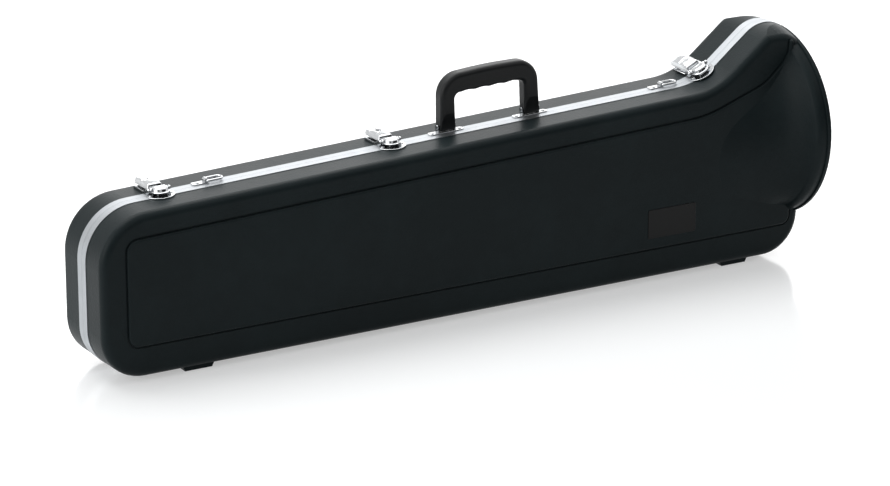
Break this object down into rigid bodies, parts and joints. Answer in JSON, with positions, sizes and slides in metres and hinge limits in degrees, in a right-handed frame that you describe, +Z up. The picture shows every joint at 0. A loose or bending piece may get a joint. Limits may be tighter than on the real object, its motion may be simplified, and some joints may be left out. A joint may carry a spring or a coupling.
{
  "type": "trombone case",
  "caption": "Hard moulded trombone case with a hinged lid, draw latches, a key lock, a folding handle, strap rings and a plush-lined fitted inside.",
  "frame": {"origin": "on the floor under the middle of the case, midway between its two large faces and its two ends, on the seam plane", "axes": "+X towards the bell end along the case, +Z up with the case standing on its feet, -Y towards the lid"},
  "size_m": [0.915, 0.23, 0.2808],
  "materials": {
    "shell": "satin fine-grained moulded ABS",
    "valance": "drawn and clear anodised",
    "plush": "short plush over foam",
    "badge": "smooth, bare",
    "grip": "satin moulded",
    "lock": "bright plated",
    "hinge": "nickel plated steel",
    "hardware": "bright plated steel"
  },
  "bodies": {
    "case_body": {"body_liner": "plush", "body_rivets": "hardware", "body_shell": "shell", "body_valance_bell": "valance", "body_valance_main": "valance", "handle_mount_bell": "hardware", "handle_mount_tail": "hardware", "handle_pin_bell": "hardware", "handle_pin_tail": "hardware", "hinge_leaves_body": "hinge", "hinge_pins": "hinge", "latch_base_bell": "hardware", "latch_base_middle": "hardware", "latch_base_tail": "hardware", "latch_pivots_bell": "hardware", "latch_pivots_middle": "hardware", "latch_pivots_tail": "hardware", "strap_plate_bell": "hardware", "strap_plate_tail": "hardware"},
    "lid": {"lid_shell": "shell", "lid_valance_main": "valance", "lid_valance_bell": "valance", "lid_liner": "plush", "hinge_leaves_lid": "hinge", "badge_plate": "badge", "lid_rivets": "hardware", "latch_keeper_tail": "hardware", "latch_keeper_middle": "hardware", "latch_keeper_bell": "hardware"},
    "handle": {"handle_grip": "grip"},
    "lock": {"lock_plug": "lock"},
    "lever_tail": {"latch_lever_tail": "hardware", "latch_claw_pin_tail": "hardware"},
    "claw_tail": {"latch_claw_tail": "hardware"},
    "lever_middle": {"latch_lever_middle": "hardware", "latch_claw_pin_middle": "hardware"},
    "claw_middle": {"latch_claw_middle": "hardware"},
    "lever_bell": {"latch_lever_bell": "hardware", "latch_claw_pin_bell": "hardware"},
    "claw_bell": {"latch_claw_bell": "hardware"},
    "ring_tail": {"strap_ring_tail": "hardware"},
    "ring_bell": {"strap_ring_bell": "hardware"}
  },
  "joints": [
    {"name": "lid_hinge", "type": "hinge", "parent": "case_body", "child": "lid", "pos_m": [0, 0, 0.0021], "axis": [1, 0, 0], "range_deg": [0, 105]},
    {"name": "lever_tail_pivot", "type": "hinge", "parent": "case_body", "child": "lever_tail", "pos_m": [-0.36322, -0.0005, 0.19881], "axis": [0.9993, 0, 0.0373], "range_deg": [0, 90]},
    {"name": "claw_tail_pivot", "type": "hinge", "parent": "lever_tail", "child": "claw_tail", "pos_m": [-0.3632, 0.0055, 0.19821], "axis": [0.9993, 0, 0.0373], "range_deg": [-90, 0]},
    {"name": "lever_middle_pivot", "type": "hinge", "parent": "case_body", "child": "lever_middle", "pos_m": [-0.07422, -0.0005, 0.20961], "axis": [0.9993, 0, 0.0373], "range_deg": [0, 90]},
    {"name": "claw_middle_pivot", "type": "hinge", "parent": "lever_middle", "child": "claw_middle", "pos_m": [-0.0742, 0.0055, 0.20901], "axis": [0.9993, 0, 0.0373], "range_deg": [-90, 0]},
    {"name": "lever_bell_pivot", "type": "hinge", "parent": "case_body", "child": "lever_bell", "pos_m": [0.34067, -0.0005, 0.23448], "axis": [0.8932, 0, 0.4496], "range_deg": [0, 90]},
    {"name": "claw_bell_pivot", "type": "hinge", "parent": "lever_bell", "child": "claw_bell", "pos_m": [0.34094, 0.0055, 0.23395], "axis": [0.8932, 0, 0.4496], "range_deg": [-90, 0]},
    {"name": "lock_turn", "type": "hinge", "parent": "lever_middle", "child": "lock", "pos_m": [-0.07422, 0.0252, 0.20961], "axis": [-0.0373, 0, 0.9993], "range_deg": [0, 90]},
    {"name": "handle_swing", "type": "hinge", "parent": "case_body", "child": "handle", "pos_m": [0.0572, 0.005, 0.21652], "axis": [0.9993, 0, 0.0373], "range_deg": [-75, 75]},
    {"name": "ring_tail_swing", "type": "hinge", "parent": "case_body", "child": "ring_tail", "pos_m": [-0.30313, 0.005, 0.19865], "axis": [0, -1, 0], "range_deg": [0, 150]},
    {"name": "ring_bell_swing", "type": "hinge", "parent": "case_body", "child": "ring_bell", "pos_m": [0.29287, 0.005, 0.22092], "axis": [0, -1, 0], "range_deg": [0, 150]}
  ],
  "couplings": [
    {"joint": "claw_tail_pivot", "follows": "lever_tail_pivot", "ratio": -1},
    {"joint": "claw_middle_pivot", "follows": "lever_middle_pivot", "ratio": -1},
    {"joint": "claw_bell_pivot", "follows": "lever_bell_pivot", "ratio": -1}
  ]
}
